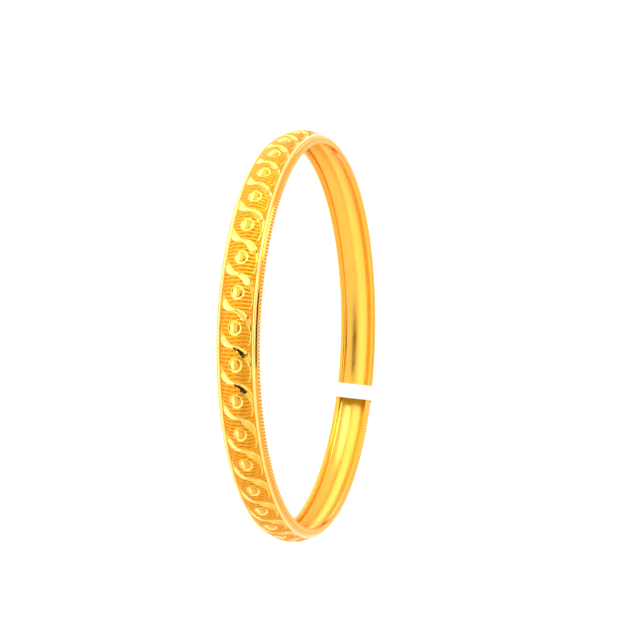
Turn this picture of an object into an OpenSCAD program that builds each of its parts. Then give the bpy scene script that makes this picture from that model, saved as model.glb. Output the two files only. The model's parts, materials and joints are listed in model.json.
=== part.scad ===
// Closed gold bangle with a domed, hollow-backed face band between two border rails and
// two edge wires, and a film jewellery tag looped round the band.
// The ring's axis is Z, and the origin is the centre of the wrist opening.

/* [Ring] */
// Diameter of the wrist opening, across the lips of the edge wires
inner_d = 60.3; // [52:0.1:72]
// Overall width of the bangle along its axis
band_w = 6.55; // [6.3:0.05:8]

/* [Face band] */
// Height of the crown of the face above the lips
crown_h = 2.31; // [2.1:0.01:2.6]
// Width of the engraved face, between the border rails
field_w = 4.6; // [4.4:0.05:5]
// Height of the face where it meets the border rails
field_edge_h = 1.38; // [1.3:0.01:1.45]
// Thickness of the sheet at the crown
wall_t = 0.45; // [0.35:0.01:0.6]
// Width of the hollow at the back of the sheet
hollow_w = 4.4; // [4:0.05:4.5]

/* [Edge wires] */
// Diameter of an edge wire, over the tips of its beading
wire_d = 1.05; // [1:0.01:1.2]
// Height of an edge wire's centre above the lips
wire_h = 0.45; // [0.4:0.01:0.48]
// Height of the flat on an edge wire that the face band is soldered to
wire_seat_h = 0.9; // [0.8:0.01:0.95]

/* [Border rails] */
// Width of a border rail
rail_w = 0.44; // [0.3:0.01:0.5]
// Height of the top of a border rail above the lips
rail_top_h = 1.47; // [1.45:0.01:1.6]
// Height of the ledge that a border rail is soldered to
rail_seat_h = 1.1; // [1:0.01:1.15]

/* [Tag] */
// Place of the tag round the ring
tag_angle = -21; // [-180:1:180]
// Width of the strap along the ring
strap_w = 2.6; // [2:0.1:4]
// Thickness of the tag's film
film_t = 0.1; // [0.08:0.01:0.12]
// Running clearance between the strap and the band
strap_gap = 0.07; // [0.05:0.01:0.08]
// Length of the neck that joins the strap to the label
neck_l = 0.6; // [0.5:0.05:1]
// Space left at the fold between the neck and the label
fold_gap = 0.24; // [0.2:0.02:0.4]
// Length of the label, out from the fold
label_l = 12; // [8:0.5:20]
// Width of the label, along the ring
label_w = 9; // [6:0.5:12]
// Thickness of the label: two layers of film and the adhesive between them
label_t = 0.3; // [0.2:0.05:0.5]
// Radius of the label's corners
label_corner_r = 1.5; // [0.5:0.1:2.5]

/* [Hidden] */
$fn = 180;
section_fn = 64;
inner_r = inner_d / 2;
wire_r = wire_d / 2;
wire_z = band_w / 2 - wire_r;
rail_r = rail_w / 2;
rail_z = field_w / 2 + rail_r;
rail_h = rail_top_h - rail_r;
rim_w = field_w + 2 * rail_w;
dome_r = arc_radius(field_w / 2, crown_h - field_edge_h);
dome_h = crown_h - dome_r;
hollow_r = arc_radius(hollow_w / 2, crown_h - wall_t - wire_seat_h);
hollow_h = crown_h - wall_t - hollow_r;
// Centres of the round shapes that the strap is drawn tight over, as [height, place along the axis]
wire_c = [wire_h, wire_z];
rail_c = [rail_h, rail_z];
dome_c = [dome_h, 0];
fold_r = inner_r + crown_h + strap_gap + film_t + neck_l + fold_gap / 2;
strap_deg = strap_w / inner_r * 180 / PI;
arc_steps = 8;

// Radius of the arc with this half chord and this rise
function arc_radius(half_chord, rise) = (half_chord * half_chord + rise * rise) / (2 * rise);

// Points of an arc about a centre, at [height, place along the axis]
function arc(centre, radius, from, to) =
    [for (i = [0:arc_steps])
        let (a = from + (to - from) * i / arc_steps)
        centre + radius * [cos(a), sin(a)]];

// Direction of the shared normal of the line that touches two circles on the same side
function touch_angle(c1, r1, c2, r2) =
    atan2(c2[1] - c1[1], c2[0] - c1[0]) + acos((r1 - r2) / norm(c2 - c1));

// Front half of a film drawn tight round the band, standing off it by the given distance
function strap_half(off) =
    let (chord = acos(-(off + wire_h) / (wire_r + off)),
         wire_to_rail = touch_angle(wire_c, wire_r, rail_c, rail_r),
         rail_to_dome = touch_angle(rail_c, rail_r, dome_c, dome_r))
    concat(arc(wire_c, wire_r + off, chord, wire_to_rail),
           arc(rail_c, rail_r + off, wire_to_rail, rail_to_dome),
           arc(dome_c, dome_r + off, rail_to_dome, 0));

// Whole outline of the film: the front half, then its mirror image without the shared crown point
function strap_outline(off) =
    let (half = strap_half(off), n = len(half))
    concat(half, [for (i = [n - 2:-1:0]) [half[i][0], -half[i][1]]]);

// A cross-section drawn at [height, place along the axis] becomes a ring, or part of one
module ring_of(sweep = 360) {
    rotate_extrude(angle = sweep)
        translate([inner_r, 0])
            children();
}

// Sheet with a domed outer face, a hollow back and a ledge for a rail at each side
module face_band_section() {
    difference() {
        union() {
            intersection() {
                translate(dome_c)
                    circle(r = dome_r, $fn = section_fn);
                translate([wire_seat_h, -field_w / 2])
                    square([crown_h, field_w]);
            }
            translate([wire_seat_h, -rim_w / 2])
                square([rail_seat_h - wire_seat_h, rim_w]);
        }
        translate([hollow_h, 0])
            circle(r = hollow_r, $fn = section_fn);
    }
}

// Round wire, flattened at the lip and where the face band sits on it; side is 1 or -1
module edge_wire_section(side) {
    intersection() {
        translate([wire_h, side * wire_z])
            circle(r = wire_r, $fn = section_fn);
        translate([0, side * wire_z - wire_r])
            square([wire_seat_h, wire_d]);
    }
}

// Half-round rail standing on its ledge; side is 1 or -1
module border_rail_section(side) {
    intersection() {
        union() {
            translate([rail_h, side * rail_z])
                circle(r = rail_r, $fn = section_fn);
            translate([rail_seat_h, side * rail_z - rail_r])
                square([rail_h - rail_seat_h, rail_w]);
        }
        translate([rail_seat_h, side * rail_z - rail_r])
            square([rail_top_h - rail_seat_h, rail_w]);
    }
}

module strap_section() {
    difference() {
        polygon(strap_outline(strap_gap + film_t));
        polygon(strap_outline(strap_gap));
    }
}

// The two ends of the film, lying together where they leave the loop at the crown
module neck() {
    root_r = inner_r + crown_h + strap_gap + film_t / 2;
    translate([root_r, -strap_w / 2, -film_t])
        cube([neck_l + film_t / 2, strap_w, 2 * film_t]);
}

module label_outline() {
    near = fold_r + fold_gap / 2;
    along = label_l - 2 * label_corner_r;
    across = label_w - 2 * label_corner_r;
    translate([near, -across / 2])
        square([label_l, across]);
    translate([near + label_corner_r, -label_w / 2])
        square([along, label_w]);
    for (x = [0, along], y = [-across / 2, across / 2])
        translate([near + label_corner_r + x, y])
            circle(r = label_corner_r, $fn = section_fn);
}

module face_band() {
    color("gold")
        ring_of()
            face_band_section();
}

module front_edge_wire() {
    color("goldenrod")
        ring_of()
            edge_wire_section(1);
}

module rear_edge_wire() {
    color("goldenrod")
        ring_of()
            edge_wire_section(-1);
}

module front_border_rail() {
    color("khaki")
        ring_of()
            border_rail_section(1);
}

module rear_border_rail() {
    color("khaki")
        ring_of()
            border_rail_section(-1);
}

module tag_strap() {
    color("white")
        rotate([0, 0, tag_angle]) {
            rotate([0, 0, -strap_deg / 2])
                ring_of(strap_deg)
                    strap_section();
            neck();
        }
}

module tag_label() {
    color("whitesmoke")
        rotate([0, 0, tag_angle])
            translate([0, 0, -label_t / 2])
                linear_extrude(label_t)
                    label_outline();
}

face_band();
front_edge_wire();
rear_edge_wire();
front_border_rail();
rear_border_rail();
tag_strap();
tag_label();
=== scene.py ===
"""Looks of the gold bangle and its film tag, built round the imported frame.

Lengths in this file are in millimetres until metres() turns them into Blender's metres.
A section point is (h, z): h is the height above the lips of the wrist opening, z the place
along the ring's axis.
"""

import json
import math

import bpy
import numpy as np
from mathutils import Matrix, Vector


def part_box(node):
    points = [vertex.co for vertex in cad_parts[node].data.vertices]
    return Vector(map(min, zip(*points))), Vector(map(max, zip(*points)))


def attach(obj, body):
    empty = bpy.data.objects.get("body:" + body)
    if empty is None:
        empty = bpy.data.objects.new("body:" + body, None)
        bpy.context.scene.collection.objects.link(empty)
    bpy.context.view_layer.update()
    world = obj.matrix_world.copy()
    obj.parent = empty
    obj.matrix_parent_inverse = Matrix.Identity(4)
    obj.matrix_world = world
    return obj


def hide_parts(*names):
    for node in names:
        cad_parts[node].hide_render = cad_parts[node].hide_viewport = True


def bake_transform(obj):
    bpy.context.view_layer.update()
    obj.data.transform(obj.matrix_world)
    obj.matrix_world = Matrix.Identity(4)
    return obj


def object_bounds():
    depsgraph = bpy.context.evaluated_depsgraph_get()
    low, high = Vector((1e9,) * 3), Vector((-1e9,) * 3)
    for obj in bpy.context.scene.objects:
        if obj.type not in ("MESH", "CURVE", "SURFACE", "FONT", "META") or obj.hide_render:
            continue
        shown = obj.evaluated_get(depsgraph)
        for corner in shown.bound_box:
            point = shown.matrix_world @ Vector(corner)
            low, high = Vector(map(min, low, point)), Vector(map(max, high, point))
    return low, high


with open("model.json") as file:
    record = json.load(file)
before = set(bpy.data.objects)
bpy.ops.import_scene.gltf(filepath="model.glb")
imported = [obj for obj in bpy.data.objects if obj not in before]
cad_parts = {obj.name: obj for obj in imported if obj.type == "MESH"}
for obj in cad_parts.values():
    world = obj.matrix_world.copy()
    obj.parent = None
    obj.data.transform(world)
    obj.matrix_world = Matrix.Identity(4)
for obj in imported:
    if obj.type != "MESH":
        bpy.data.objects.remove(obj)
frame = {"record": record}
cad_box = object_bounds()

MM = 0.001


def box_mm(node):
    lo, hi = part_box(node)
    return np.array(lo) / MM, np.array(hi) / MM


# ---------------------------------------------------------------- sizes from the CAD frame
bore = next(m for m in frame["record"]["mounts"] if m["name"] == "wrist_opening")
LIP_R = bore["dims"]["r_mm"]
CROWN_H = box_mm("face_band")[1][0] - LIP_R
RIM_Z = box_mm("face_band")[1][2]
BAND_Z = box_mm("front_edge_wire")[1][2]
RAIL_TOP_H = box_mm("front_border_rail")[1][0] - LIP_R
RAIL_OUT_Z = box_mm("front_border_rail")[1][2]
RAIL_IN_Z = box_mm("front_border_rail")[0][2]
FLOOR_Z = cad_box[0][2] / MM - 0.005

# sizes of the solids that the boxes of their nodes don't show
WIRE_R = 0.525
WIRE_H = 0.45
WIRE_Z = BAND_Z - WIRE_R
SEAT_H = 0.90
LEDGE_H = 1.10
FIELD_Z = RAIL_IN_Z
FIELD_EDGE_H = 1.38
HOLLOW_Z = 2.20
HOLLOW_APEX_H = 1.86
RAIL_R = (RAIL_OUT_Z - RAIL_IN_Z) / 2
RAIL_Z = (RAIL_OUT_Z + RAIL_IN_Z) / 2
RAIL_H = RAIL_TOP_H - RAIL_R

# ---------------------------------------------------------------- the engraved pattern
UNITS = 40
UNIT_DEG = 360 / UNITS
FIRST_ROSETTE_DEG = 185.4
UNIT_LEN = 2 * math.pi * (LIP_R + CROWN_H) / UNITS
LINES_PER_UNIT = 9
TEETH = UNITS * LINES_PER_UNIT
# places across the face: the rosette's centre, and the middle between the centres that the
# two crescents curl round
ROSETTE_S = 0.15
TIP_S = -0.20
ROSETTE_SIZE = 0.88


def arc_radius(half_chord, rise):
    return (half_chord ** 2 + rise ** 2) / (2 * rise)


DOME_R = arc_radius(FIELD_Z, CROWN_H - FIELD_EDGE_H)
DOME_H = CROWN_H - DOME_R
HOLLOW_R = arc_radius(HOLLOW_Z, HOLLOW_APEX_H - SEAT_H)
HOLLOW_H = HOLLOW_APEX_H - HOLLOW_R


def metres(h, z, phi):
    """Section point(s) at angle phi (radians) round the ring, as points in metres."""
    r = LIP_R + h
    return np.stack(np.broadcast_arrays(r * np.cos(phi), r * np.sin(phi), z), -1) * MM


def smoothstep(lo, hi, x):
    t = np.clip((x - lo) / (hi - lo), 0, 1)
    return t * t * (3 - 2 * t)


# ---------------------------------------------------------------- mesh building
def make_object(name, points, faces, smooth=True):
    """A mesh object from an (n, 3) array and a list of (k, 4) or (k, 3) index arrays."""
    mesh = bpy.data.meshes.new(name)
    mesh.vertices.add(len(points))
    mesh.vertices.foreach_set("co", np.asarray(points, np.float32).ravel())
    loops = np.concatenate([f.ravel() for f in faces]).astype(np.int32)
    totals = np.concatenate([np.full(len(f), f.shape[1]) for f in faces])
    starts = np.concatenate([[0], np.cumsum(totals)[:-1]]).astype(np.int32)
    mesh.loops.add(len(loops))
    mesh.loops.foreach_set("vertex_index", loops)
    mesh.polygons.add(len(starts))
    mesh.polygons.foreach_set("loop_start", starts)
    mesh.update(calc_edges=True)
    mesh.validate()
    mesh.polygons.foreach_set("use_smooth", np.full(len(starts), smooth))
    obj = bpy.data.objects.new(name, mesh)
    bpy.context.scene.collection.objects.link(obj)
    return obj


def set_share(obj, name, values):
    """Store one number per point of the mesh, for the materials."""
    attribute = obj.data.attributes.new(name, "FLOAT", "POINT")
    attribute.data.foreach_set("value", np.asarray(values, np.float32).ravel())


def torus_quads(rings, ribs, close_ribs=True, first=0):
    """Quads over a rings x ribs grid of points that closes along the rings."""
    i = np.arange(rings)[:, None]
    j = np.arange(ribs if close_ribs else ribs - 1)[None, :]
    i2, j2 = (i + 1) % rings, (j + 1) % ribs
    quads = np.stack([i * ribs + j, i2 * ribs + j, i2 * ribs + j2, i * ribs + j2], -1)
    return quads.reshape(-1, 4) + first


# ---------------------------------------------------------------- engraved face
# The crescent's two edges, as distances from the centre it curls round, by angle from straight up
CRESCENT_DEG = np.array([-16, -8, 2, 15, 28, 45, 66, 85, 100, 122, 143])
CRESCENT_OUT = np.array([2.50, 2.62, 2.68, 2.68, 2.65, 2.58, 2.47, 2.40, 2.43, 2.72, 3.13])
CRESCENT_IN = np.array([2.50, 2.34, 2.08, 1.78, 1.54, 1.45, 1.56, 1.78, 2.02, 2.45, 3.05])
# The rosette's profile: distance from its centre and depth of the cut
ROSETTE_RHO = np.array([0.00, 0.08, 0.16, 0.70, 0.80, 0.88, 1.08, 1.14, 1.20])
ROSETTE_CUT = np.array([0.12, 0.11, 0.08, 0.11, 0.17, 0.18, 0.05, 0.04, 0.08])


def crescent(s, y, highlit_side):
    """Depth of the crescent's cut, how far the point is inside it in mm, and how bright it is.
    s and y are places on the face from the centre it curls round, its point straight up.
    The brightness is painted highlight, a paler gold tint, painted stronger on the crescents of
    the rear half of the face."""
    rho = np.hypot(s, y)
    deg = np.degrees(np.arctan2(s, -y))
    r_out = np.interp(deg, CRESCENT_DEG, CRESCENT_OUT)
    r_in = np.interp(deg, CRESCENT_DEG, CRESCENT_IN)
    width = np.maximum(r_out - r_in, 1e-3)
    from_in, from_out = rho - r_in, r_out - rho
    inside = np.minimum(from_in, from_out)
    inside = np.where((deg < CRESCENT_DEG[0]) | (deg > CRESCENT_DEG[-1]), -1.0, inside)
    # a flat wedge behind the point, then a shallow band that follows the curl
    wedge = smoothstep(68, 50, deg)
    border = np.minimum(0.18 + 0.22 * wedge, 0.38 * width)
    flat = np.maximum(-0.21 * y - (s - 1.08) ** 2 / (2 * DOME_R) - 0.19, 0.02)
    plane = wedge * flat + (1 - wedge) * 0.20 * np.clip(from_in, 0, width - border)
    step, facet = np.modf((np.radians(deg) * 2.0 + 10) / 0.30)
    lean = np.random.default_rng(3).uniform(-0.6, 1.0, 64)[facet.astype(int) % 64]
    fade = smoothstep(0.0, 0.2, from_in) * smoothstep(0.0, 0.08, from_out - border)
    lines = np.abs(np.sin(math.pi * np.radians(deg) * 2.1 / 0.27))
    facets = (0.018 + 0.022 * smoothstep(22, 40, deg)) * lean * step
    relief = facets * wedge + 0.04 * lines * (1 - wedge) * smoothstep(120, 100, deg)
    cut = 0.015 + (plane + relief * fade) * np.clip(from_out / border, 0, 1)
    # painted highlight: a paler tint on the crescent's outer rim and outer part, stronger on the
    # rear half of the face
    rim = 0.85 * smoothstep(0.20, 0.10, from_out)
    outer = smoothstep(0.35, 0.55, from_in / width)
    near = smoothstep(66, 36, deg)
    share = near * (0.45 + 0.55 * outer) + (1 - near) * 0.55 if highlit_side else 0.42 * near
    rim = rim * (1 if highlit_side else 1 - 0.5 * near)
    return cut, inside, np.maximum(np.maximum(share, rim), 0.16)


def rosette(s, y, turn):
    """Depth of the rosette's cut at a place from its centre, the distance from it, and how
    bright it is."""
    s, y = s / ROSETTE_SIZE, y / ROSETTE_SIZE
    rho = np.hypot(s, y)
    ang = np.arctan2(y, s) - turn
    petal = np.mod(ang, math.pi / 4) - math.pi / 8
    facet = rho * np.cos(petal) / math.cos(math.pi / 8) * 0.98
    share = smoothstep(0.74, 0.66, rho)
    cut = np.interp(facet * share + rho * (1 - share), ROSETTE_RHO, ROSETTE_CUT)
    # painted highlight: the rosette's left lens and one side of its wall get the paler tint, as if
    # lit by the lamp; the rest stays dim
    lens = smoothstep(0.08, -0.08, s + 0.22 + 0.25 * y * y) * smoothstep(0.90, 0.80, rho)
    wall = smoothstep(0.86, 0.94, rho) * smoothstep(1.20, 1.12, rho)
    wall = wall * (0.3 + 0.5 * smoothstep(0.1, 0.6, 0.6 * s + 0.8 * y))
    return cut, rho, 0.08 + 0.92 * np.maximum(lens, wall)


def face_relief(s, y, unit):
    """Depth cut below the dome and the share of polish and painted highlight, at place s across
    the face (arc length) and y along it from the unit's rosette."""
    rng = np.random.default_rng(7)
    jitter = rng.uniform(-1, 1, (UNITS, 4))[unit]
    wave = 0.05 * np.sin(1.9 * s + 2.1 * jitter[..., 0]) + 0.04 * np.sin(0.8 * y + 3.0 * s)
    line = np.abs(np.cos(math.pi * LINES_PER_UNIT * (y + wave) / UNIT_LEN))
    depth = 0.11 + 0.025 * np.sin(5.3 * s + 2.7 * y + 4.0 * jitter[..., 0])
    depth = depth * (1 - 0.35 * smoothstep(0.6, 1.8, s))
    cut, bright = 0.035 + depth * (1 - line), np.zeros(s.shape)
    for cs, side in ((ROSETTE_S, 1.0), (2 * TIP_S - ROSETTE_S, -1.0)):
        for shift in (-UNIT_LEN, 0.0, UNIT_LEN):
            c, inside, b = crescent((s - cs) * side, (y - shift) * side, side < 0)
            w = smoothstep(-0.03, 0.03, inside)
            cut = cut * (1 - w) + c * w
            bright = np.maximum(bright, b * smoothstep(-0.02, 0.04, inside))
    for shift in (-UNIT_LEN, 0.0, UNIT_LEN):
        c, rho, b = rosette(s - ROSETTE_S - 0.10 * jitter[..., 2],
                            y - shift - 0.06 * jitter[..., 3], jitter[..., 1] * 0.4)
        w = smoothstep(1.21, 1.15, rho)
        cut = cut * (1 - w) + c * w
        bright = bright * (1 - w) + b * w
    edge = DOME_R * math.asin(FIELD_Z / DOME_R)
    margin = smoothstep(edge - 0.16, edge - 0.02, np.abs(s))
    return cut * (1 - margin) + 0.03 * margin, bright * (1 - margin)


def build_face():
    cols, rows, back_step = 72, 73, 6
    rings = UNITS * cols
    coarse = rings // back_step
    column = np.arange(rings)
    unit = column // cols
    y = (column % cols / cols - 0.5) * UNIT_LEN
    phi = np.radians(FIRST_ROSETTE_DEG + UNIT_DEG * (unit + column % cols / cols - 0.5))
    tilt = np.linspace(-1, 1, rows) * math.asin(FIELD_Z / DOME_R)
    s, yy = np.broadcast_arrays(DOME_R * tilt[None, :], y[:, None])
    cut, bright = face_relief(s, yy, np.broadcast_to(unit[:, None], s.shape))
    r = DOME_R - cut
    outer = metres(DOME_H + r * np.cos(tilt), r * np.sin(tilt), phi[:, None])
    # the hidden sides and the hollow back, with fewer columns
    t = np.linspace(1, -1, 25) * math.asin(HOLLOW_Z / HOLLOW_R)
    back_h = np.concatenate([[LEDGE_H, LEDGE_H, SEAT_H], HOLLOW_H + HOLLOW_R * np.cos(t),
                             [SEAT_H, LEDGE_H, LEDGE_H]])
    back_z = np.concatenate([[FIELD_Z, RIM_Z, RIM_Z], HOLLOW_R * np.sin(t),
                             [-RIM_Z, -RIM_Z, -FIELD_Z]])
    ribs = len(back_h)
    back = metres(back_h[None, :], back_z[None, :], phi[::back_step, None])
    points = np.concatenate([outer.reshape(-1, 3), back.reshape(-1, 3)])
    first = rings * rows
    faces = [torus_quads(rings, rows, False), torus_quads(coarse, ribs, False, first)]
    # fans that join every sixth column of the face to the back
    c = np.arange(coarse)
    for face_row, back_row, turned in ((rows - 1, 0, False), (0, ribs - 1, True)):
        here = first + c * ribs + back_row
        there = first + (c + 1) % coarse * ribs + back_row
        for k in range(back_step):
            a = (c * back_step + k) % rings * rows + face_row
            b = (c * back_step + k + 1) % rings * rows + face_row
            corner = here if k < back_step / 2 else there
            tri = np.stack([a, b, corner], -1)
            faces.append(tri[:, ::-1] if turned else tri)
        mid = (c * back_step + back_step // 2) % rings * rows + face_row
        tri = np.stack([here, mid, there], -1)
        faces.append(tri[:, ::-1] if turned else tri)
    obj = make_object("engraved_face", points, faces)
    # polish and painted highlight: a paler tint and lower roughness on the bright cuts; the back
    # and sides take it in full
    set_share(obj, "polish_and_painted_highlight", np.concatenate([bright.ravel(), np.full(coarse * ribs, 1.0)]))
    # painted shade: deeper cuts get a darker orange-brown tint, less where the painted highlight
    # is
    deep = cut / 0.15 * (1 - smoothstep(0.0, 0.18, bright))
    set_share(obj, "painted_groove_shade", np.concatenate([deep.ravel(), np.zeros(coarse * ribs)]))
    rib = np.arange(len(faces[1])) % (ribs - 1)
    indices = np.zeros(len(obj.data.polygons), np.int32)
    indices[len(faces[0]):len(faces[0]) + len(faces[1])] = (rib > 1) & (rib < ribs - 3)
    obj.data.polygons.foreach_set("material_index", indices)
    return obj


# ---------------------------------------------------------------- beaded edge wires
COLUMNS_PER_BEAD = 8
BEAD_DEPTH = 0.16
# the narrow flat beside the rail: the direction it faces and where it ends, in degrees round
# the wire, with 0 outward from the ring and 90 at the edge of the bangle
FLAT_FACING_DEG = 20
FLAT_END_DEG = 24


def build_wire(name, side):
    rings = TEETH * COLUMNS_PER_BEAD
    ring = np.arange(rings)
    phi = np.radians(FIRST_ROSETTE_DEG) + 2 * math.pi * ring / rings
    tooth = np.abs(np.cos(math.pi * ring / COLUMNS_PER_BEAD))
    crease = math.degrees(math.asin((RIM_Z - WIRE_Z) / WIRE_R))
    deg = np.concatenate([[crease, crease, crease + 0.6, 8, 16, 23, 29],
                          np.linspace(36, 151, 13), np.linspace(160, 350, 14)])
    beaded = smoothstep(23, 32, deg) * smoothstep(158, 132, deg)
    valley = beaded[None, :] * (1 - tooth[:, None])
    from_facing = np.minimum(deg, FLAT_END_DEG) - FLAT_FACING_DEG
    flat = np.cos(np.radians(FLAT_END_DEG - FLAT_FACING_DEG)) / np.cos(np.radians(from_facing))
    r = WIRE_R * np.where(deg < FLAT_END_DEG, flat, 1)[None, :] - BEAD_DEPTH * valley
    h = WIRE_H + r * np.cos(np.radians(deg))
    z = WIRE_Z + r * np.sin(np.radians(deg))
    h = np.clip(h, 0, np.where(deg > 180, SEAT_H, CROWN_H))
    h[:, 0] = SEAT_H
    points = metres(h, z * side, phi[:, None]).reshape(-1, 3)
    quads = torus_quads(rings, len(deg))
    wire = make_object(name, points, [quads if side > 0 else quads[:, ::-1]])
    # the beads and the wire's inner flank are paler than the lip that bears on the wrist; the
    # lip's deeper orange is painted shade
    pale = np.maximum(beaded, smoothstep(215, 245, deg))
    set_share(wire, "pale_gold_over_lip_shade", np.broadcast_to(pale, valley.shape))
    # painted shade: the valleys between the beads are tinted darker
    set_share(wire, "bead_valley_shade", np.clip(valley * 1.5, 0, 1))
    return wire


# ---------------------------------------------------------------- polished border rails
def build_rail(name, side):
    rings = 720
    phi = np.linspace(0, 2 * math.pi, rings, endpoint=False)
    t = np.radians(np.linspace(-90, 90, 15))
    h = np.concatenate([[LEDGE_H], RAIL_H + RAIL_R * np.cos(t), [LEDGE_H]])
    z = np.concatenate([[RAIL_IN_Z], RAIL_Z + RAIL_R * np.sin(t), [RAIL_OUT_Z]])
    points = metres(h[None, :], z[None, :] * side, phi[:, None]).reshape(-1, 3)
    quads = torus_quads(rings, len(h))
    return make_object(name, points, [quads if side > 0 else quads[:, ::-1]])


# ---------------------------------------------------------------- the film tag
TAG_DEG = -21.0
TAG_SKEW_DEG = -0.14  # for each mm along the ring's axis
FILM_T = 0.10
STRAP_GAP = 0.07
STRAP_W = 2.60
NECK_L = 0.60
FOLD_GAP = 0.24
FOLD_R = LIP_R + CROWN_H + STRAP_GAP + FILM_T + NECK_L + FOLD_GAP / 2
LABEL_T = 0.30
LABEL_W = 9.0
LABEL_L = 12.0
LABEL_CORNER_R = 1.5
LABEL_INSET = 0.98  # share of the solid's thickness, to stay just inside it
LABEL_START_R = FOLD_R + FOLD_GAP / 2
LABEL_END_R = LABEL_START_R + LABEL_L


def touch_angle(c1, r1, c2, r2):
    """Direction of the shared normal of the line that touches two circles on one side."""
    d = np.subtract(c2, c1)
    return math.atan2(d[1], d[0]) + math.acos((r1 - r2) / math.hypot(*d))


def strap_path(off, per_arc=10):
    """Closed outline of the film at a distance off the band, starting at the rear chord."""
    wire, rail, dome = (WIRE_H, WIRE_Z), (RAIL_H, RAIL_Z), (DOME_H, 0.0)
    chord = math.acos(-(off + WIRE_H) / (WIRE_R + off))
    to_rail = touch_angle(wire, WIRE_R, rail, RAIL_R)
    to_dome = touch_angle(rail, RAIL_R, dome, DOME_R)
    half = []
    for centre, radius, a0, a1 in ((wire, WIRE_R, chord, to_rail),
                                   (rail, RAIL_R, to_rail, to_dome),
                                   (dome, DOME_R, to_dome, 0.0)):
        a = np.linspace(a0, a1, per_arc)
        half.append(np.stack([centre[0] + (radius + off) * np.cos(a),
                              centre[1] + (radius + off) * np.sin(a)], -1))
    half = np.concatenate(half)
    inner = np.stack([np.full(9, -off), np.linspace(-half[0][1], half[0][1], 11)[1:-1]], -1)
    return np.concatenate([half, (half * [1, -1])[-2::-1], inner])


def build_strap():
    across = 9
    near, far = strap_path(STRAP_GAP), strap_path(STRAP_GAP + FILM_T)
    w = np.linspace(-0.5, 0.5, across)
    half_deg = math.degrees(STRAP_W / LIP_R)
    rows = []
    for path, ws in ((near, w), (far, w[::-1])):
        deg = TAG_DEG + TAG_SKEW_DEG * path[:, 1][:, None] + half_deg * ws[None, :]
        rows.append(metres(path[:, 0][:, None], path[:, 1][:, None], np.radians(deg)))
    grid = np.concatenate(rows, axis=1)
    strap = make_object("film_strap", grid.reshape(-1, 3), [torus_quads(len(near), 2 * across)])
    # the film's inner face takes the second material, with its painted shade tint
    column = np.arange(len(strap.data.polygons)) % (2 * across)
    strap.data.polygons.foreach_set("material_index", (column < across - 1).astype(np.int32))
    return strap


def label_half_width(x):
    """Half the width of the neck or the label at a distance x from the ring's axis."""
    shoulder = np.clip((x - LABEL_START_R) / LABEL_CORNER_R, 0, 1)
    corner = np.clip((LABEL_END_R - x) / LABEL_CORNER_R, 0, 1)
    round_in = np.sqrt(1 - (1 - shoulder) ** 2)
    round_out = np.sqrt(1 - (1 - corner) ** 2)
    wide = LABEL_W / 2 - LABEL_CORNER_R + LABEL_CORNER_R * np.minimum(round_in, round_out)
    return np.where(x < LABEL_START_R, STRAP_W / 2, wide)


def build_label():
    across = 15
    root = LIP_R + CROWN_H + STRAP_GAP + 0.02
    out, corner = LABEL_START_R, LABEL_CORNER_R
    quarter = np.linspace(0, math.pi / 2, 10)
    x = np.concatenate([np.linspace(root, out - 0.05, 9),
                        out + corner * (1 - np.cos(quarter)),
                        np.linspace(out + corner, LABEL_END_R - corner, 16)[1:-1],
                        LABEL_END_R - corner * (1 - np.sin(quarter))])
    half = label_half_width(x)
    thick = FILM_T + (LABEL_T / 2 - FILM_T) * smoothstep(FOLD_R - 0.1, out + 0.5, x)
    w = np.linspace(-1, 1, across)
    seam = 1 - 0.35 * smoothstep(0.80, 1.0, np.abs(w))
    loop_w = np.concatenate([w, w[::-1]])
    loop_side = np.concatenate([np.ones(across), -np.ones(across)])
    loop_seam = np.concatenate([seam, seam[::-1]])
    yy = half[:, None] * loop_w[None, :]
    zz = thick[:, None] * loop_side[None, :] * loop_seam[None, :] * LABEL_INSET
    xx = np.broadcast_to(x[:, None], yy.shape)
    a = math.radians(TAG_DEG)
    points = np.stack([xx * math.cos(a) - yy * math.sin(a),
                       xx * math.sin(a) + yy * math.cos(a), zz], -1) * MM
    n, m = yy.shape
    i = np.arange(n - 1)[:, None]
    j = np.arange(m)[None, :]
    quads = np.stack([i * m + j, (i + 1) * m + j, (i + 1) * m + (j + 1) % m,
                      i * m + (j + 1) % m], -1).reshape(-1, 4)
    caps = []
    for ring, turned in ((0, False), (n - 1, True)):
        k = np.arange(across - 1)
        cap = ring * m + np.stack([k, k + 1, m - 2 - k, m - 1 - k], -1)
        caps.append(cap[:, ::-1] if turned else cap)
    return make_object("film_label", points.reshape(-1, 3), [quads, *caps])


# ---------------------------------------------------------------- materials
def new_material(name):
    material = bpy.data.materials.new(name)
    material.use_nodes = True
    nodes = material.node_tree.nodes
    return material, nodes, material.node_tree.links, nodes["Principled BSDF"]


def add(nodes, kind, **values):
    """A node with some of its properties or input values set."""
    node = nodes.new(kind)
    for key, value in values.items():
        if hasattr(node, key):
            setattr(node, key, value)
        else:
            node.inputs[key.replace("_", " ")].default_value = value
    return node


def mix_color(nodes, links, factor, a, b):
    node = nodes.new("ShaderNodeMix")
    node.data_type = "RGBA"
    links.new(factor, node.inputs["Factor"])
    for socket, value in (("A", a), ("B", b)):
        target = next(i for i in node.inputs if i.name == socket and i.type == "RGBA")
        if isinstance(value, bpy.types.NodeSocket):
            links.new(value, target)
        else:
            target.default_value = (*value, 1)
    return next(o for o in node.outputs if o.type == "RGBA")


def map_range(nodes, links, value, lo, hi, to_lo, to_hi, smooth=False):
    node = nodes.new("ShaderNodeMapRange")
    if smooth:
        node.interpolation_type = "SMOOTHSTEP"
    links.new(value, node.inputs["Value"])
    for key, number in (("From Min", lo), ("From Max", hi), ("To Min", to_lo), ("To Max", to_hi)):
        node.inputs[key].default_value = number
    return node.outputs["Result"]


def noise(nodes, links, vector, scale, detail=3.0, rough=0.5):
    node = add(nodes, "ShaderNodeTexNoise", Scale=scale, Detail=detail, Roughness=rough)
    links.new(vector, node.inputs["Vector"])
    return node.outputs["Fac"]


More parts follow.
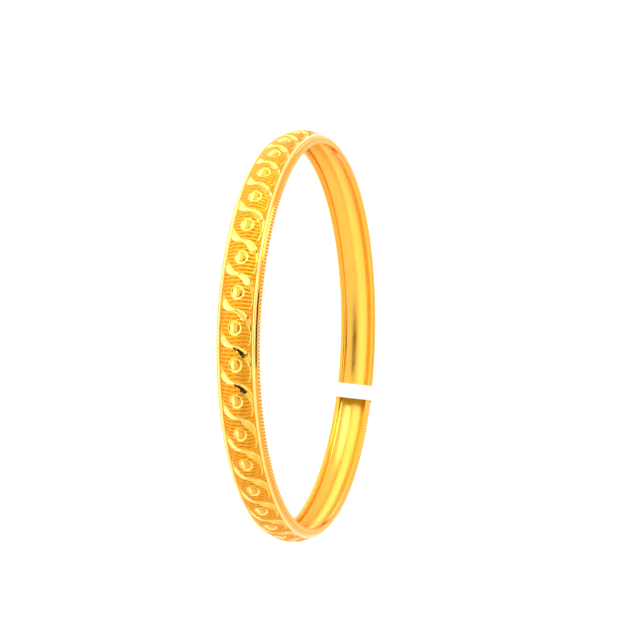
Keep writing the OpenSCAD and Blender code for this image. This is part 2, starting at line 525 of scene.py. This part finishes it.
def gold(name, deep, pale, rough, fine_bump, layers=(), dull=None):
    """Polished yellow gold: colour and polish vary a little from place to place. Each layer is
    a mesh share and the colour it brings in; dull is a mesh share and the roughness at 0."""
    material, nodes, links, shader = new_material(name)
    shader.inputs["Metallic"].default_value = 1.0
    place = nodes.new("ShaderNodeTexCoord").outputs["Object"]
    patches = noise(nodes, links, place, 260.0)
    grain = noise(nodes, links, place, 5200.0, 4.0, 0.6)
    colour = mix_color(nodes, links, patches, deep, pale)
    polish = map_range(nodes, links, patches, 0.3, 0.7, rough[0], rough[1])
    for share, tint in layers:
        amount = add(nodes, "ShaderNodeAttribute", attribute_name=share).outputs["Fac"]
        colour = mix_color(nodes, links, amount, colour, tint)
    if dull:
        amount = add(nodes, "ShaderNodeAttribute", attribute_name=dull[0]).outputs["Fac"]
        mix = nodes.new("ShaderNodeMix")
        links.new(map_range(nodes, links, amount, 0.0, 0.08, 0.0, 1.0), mix.inputs[0])
        mix.inputs[2].default_value = dull[1]
        links.new(polish, mix.inputs[3])
        polish = mix.outputs[0]
    links.new(colour, shader.inputs["Base Color"])
    links.new(polish, shader.inputs["Roughness"])
    bump = add(nodes, "ShaderNodeBump", Strength=fine_bump, Distance=0.00002)
    links.new(grain, bump.inputs["Height"])
    links.new(bump.outputs["Normal"], shader.inputs["Normal"])
    return material


def film(name, dull, clear):
    """Satin film: faint fibres and a slight sheen."""
    material, nodes, links, shader = new_material(name)
    place = nodes.new("ShaderNodeTexCoord").outputs["Object"]
    cloud = noise(nodes, links, place, 900.0, 4.0)
    fibre = noise(nodes, links, place, 9000.0, 2.0, 0.7)
    links.new(mix_color(nodes, links, cloud, dull, clear), shader.inputs["Base Color"])
    links.new(map_range(nodes, links, cloud, 0.3, 0.7, 0.36, 0.55), shader.inputs["Roughness"])
    shader.inputs["Subsurface Weight"].default_value = 0.15
    shader.inputs["Subsurface Scale"].default_value = 0.0004
    bump = add(nodes, "ShaderNodeBump", Strength=0.25, Distance=0.00001)
    links.new(fibre, bump.inputs["Height"])
    links.new(bump.outputs["Normal"], shader.inputs["Normal"])
    return material


# ---------------------------------------------------------------- put the pieces on the frame
# engraved gold: painted shade makes the deep cuts darker orange-brown, painted highlight makes the
# bright cuts paler
engraved_gold = gold("engraved_gold", (1.0, 0.465, 0.028), (1.0, 0.525, 0.040), (0.05, 0.10), 0.15,
                     [("painted_groove_shade", (0.62, 0.15, 0.003)), ("polish_and_painted_highlight", (1.0, 0.83, 0.27))],
                     ("polish_and_painted_highlight", 0.42))
back_gold = gold("back_gold", (1.0, 0.54, 0.08), (1.0, 0.60, 0.10), (0.24, 0.34), 0.3)
# beaded gold: the lip's deeper orange and the darker bead valleys are painted shade
beaded_gold = gold("beaded_gold", (1.0, 0.37, 0.04), (1.0, 0.42, 0.05), (0.03, 0.07), 0.08,
                   [("pale_gold_over_lip_shade", (1.0, 0.69, 0.20)), ("bead_valley_shade", (0.80, 0.26, 0.03))])
polished_gold = gold("polished_gold", (1.0, 0.74, 0.22), (1.0, 0.80, 0.27), (0.05, 0.10), 0.1)
tag_film = film("tag_film", (0.93, 0.93, 0.92), (0.99, 0.99, 0.985))
# painted shade: the strap's inside, facing the hollow, is tinted green-grey so that its reflection
# in the hollow shows as a dark olive shade under the tag
strap_inside_shade_film = film("strap_inside_shade_film", (0.50, 0.92, 0.60), (0.54, 0.97, 0.66))

pieces = [
    (build_face(), "bangle", "face_band", "engraved_gold", engraved_gold),
    (build_wire("front_beaded_wire", 1), "bangle", "front_edge_wire", "beaded_gold", beaded_gold),
    (build_wire("rear_beaded_wire", -1), "bangle", "rear_edge_wire", "beaded_gold", beaded_gold),
    (build_rail("front_rail", 1), "bangle", "front_border_rail", "polished_gold", polished_gold),
    (build_rail("rear_rail", -1), "bangle", "rear_border_rail", "polished_gold", polished_gold),
    (build_strap(), "tag_loop", "tag_strap", "tag_film", tag_film),
    (build_label(), None, "tag_label", "tag_film", tag_film),
]
for piece, body, node, slot, material in pieces:
    piece.data.materials.append(material)
    if node in ("face_band", "tag_strap"):
        piece.data.materials.append(back_gold if node == "face_band" else strap_inside_shade_film)
    if body:
        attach(piece, body)
    else:
        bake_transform(piece)
    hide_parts(node)

# ---------------------------------------------------------------- floor, light and camera
floor_half = 2.0  # metres
floor_mesh = bpy.data.meshes.new("floor")
floor_mesh.from_pydata([(x * floor_half, y * floor_half, FLOOR_Z * MM)
                        for x, y in ((-1, -1), (1, -1), (1, 1), (-1, 1))], [], [(0, 1, 2, 3)])
floor = bpy.data.objects.new("floor", floor_mesh)
bpy.context.scene.collection.objects.link(floor)
floor_material, nodes, links, shader = new_material("floor")
place = nodes.new("ShaderNodeTexCoord").outputs["Object"]
cloud = noise(nodes, links, place, 3.0)
links.new(mix_color(nodes, links, cloud, (0.11, 0.11, 0.11), (0.13, 0.13, 0.13)),
          shader.inputs["Base Color"])
links.new(mix_color(nodes, links, cloud, (0.99, 0.99, 0.99), (1.0, 1.0, 1.0)),
          shader.inputs["Emission Color"])
# the table glows more on the +Y side outside the ring, and on the -Y side inside it: painted light
# and shadow, as if a lamp on the +Y side threw the ring wall's shadow on it
split = nodes.new("ShaderNodeSeparateXYZ")
links.new(place, split.inputs[0])
reach = nodes.new("ShaderNodeVectorMath")
reach.operation = "LENGTH"
links.new(place, reach.inputs[0])
outside = map_range(nodes, links, reach.outputs["Value"], 0.029, 0.033, -0.35, 0.35)
across = map_range(nodes, links, split.outputs["Y"], -0.022, 0.022, -1.0, 1.0)
glow = add(nodes, "ShaderNodeMath", operation="MULTIPLY_ADD")
links.new(outside, glow.inputs[0])
links.new(across, glow.inputs[1])
glow.inputs[2].default_value = 1.38
links.new(glow.outputs[0], shader.inputs["Emission Strength"])
shader.inputs["Roughness"].default_value = 0.9
shader.inputs["Specular IOR Level"].default_value = 0.1
floor.data.materials.append(floor_material)

# the camera's place in mm, and its axes
CAMERA_AT = np.array([-217.05, 8.78, 69.56])
RIGHT = np.array([0.29597, 0.01479, 0.95508])
UP = np.array([0.02218, 0.99950, -0.02235])
BACK = np.array([-0.95494, 0.02780, 0.29550])


def aim(azimuth, elevation):
    """Unit vector toward a place in the surroundings, by degrees."""
    a, e = math.radians(azimuth), math.radians(elevation)
    return Vector((math.cos(a) * math.cos(e), math.sin(a) * math.cos(e), math.sin(e)))


def studio_world():
    """Soft white surroundings with one brighter lamp on the +Y side, and a dark patch near
    the camera."""
    world = bpy.data.worlds.new("studio")
    bpy.context.scene.world = world
    world.use_nodes = True
    nodes, links = world.node_tree.nodes, world.node_tree.links
    background = nodes["Background"]
    direction = nodes.new("ShaderNodeTexCoord").outputs["Generated"]

    def dot(vector):
        node = nodes.new("ShaderNodeVectorMath")
        node.operation = "DOT_PRODUCT"
        links.new(direction, node.inputs[0])
        node.inputs[1].default_value = vector
        return node.outputs["Value"]

    def maths(kind, a, b):
        node = nodes.new("ShaderNodeMath")
        node.operation = kind
        for socket, value in ((node.inputs[0], a), (node.inputs[1], b)):
            if isinstance(value, bpy.types.NodeSocket):
                links.new(value, socket)
            else:
                socket.default_value = value
        return node.outputs[0]

    def within(vector, full, none, level):
        return map_range(nodes, links, dot(vector), math.cos(math.radians(none)),
                         math.cos(math.radians(full)), 0.0, level, True)

    base = map_range(nodes, links, dot((0, 1, 0)), -1.0, 1.0, 1.07, 1.03)
    light = maths("ADD", base, within(aim(118, 22), 12, 19, 3.3))
    light = maths("ADD", light, within(aim(0, 90), 12, 24, 0.6))
    dark = aim(174.5, 23)
    side = Vector((0, 0, 1)).cross(dark).normalized()
    over = dark.cross(side)
    u = maths("DIVIDE", dot(side), math.sin(math.radians(20)))
    v = maths("DIVIDE", dot(over), math.sin(math.radians(14)))
    away = maths("ADD", maths("MULTIPLY", u, u), maths("MULTIPLY", v, v))
    behind = maths("LESS_THAN", dot(dark), 0.0)
    away = maths("ADD", away, maths("MULTIPLY", behind, 9.0))
    dim = map_range(nodes, links, away, 0.75, 1.25, 0.04, 1.0, True)
    light = maths("MULTIPLY", light, dim)
    path = nodes.new("ShaderNodeLightPath").outputs["Is Camera Ray"]
    strength = nodes.new("ShaderNodeMix")
    links.new(path, strength.inputs[0])
    links.new(light, strength.inputs[2])
    strength.inputs[3].default_value = 1.1
    links.new(strength.outputs[0], background.inputs["Strength"])
    background.inputs["Color"].default_value = (1, 1, 1, 1)


studio_world()

camera_data = bpy.data.cameras.new("camera")
camera_data.lens = 80.81
camera_data.sensor_width = 36.0
camera_data.clip_start = 0.005
camera_data.clip_end = 10.0
camera = bpy.data.objects.new("camera", camera_data)
bpy.context.scene.collection.objects.link(camera)
turn = Matrix((RIGHT, UP, BACK)).transposed()
camera.matrix_world = Matrix.Translation(CAMERA_AT * MM) @ turn.to_4x4()
bpy.context.scene.camera = camera
bpy.context.scene.view_settings.view_transform = "Standard"
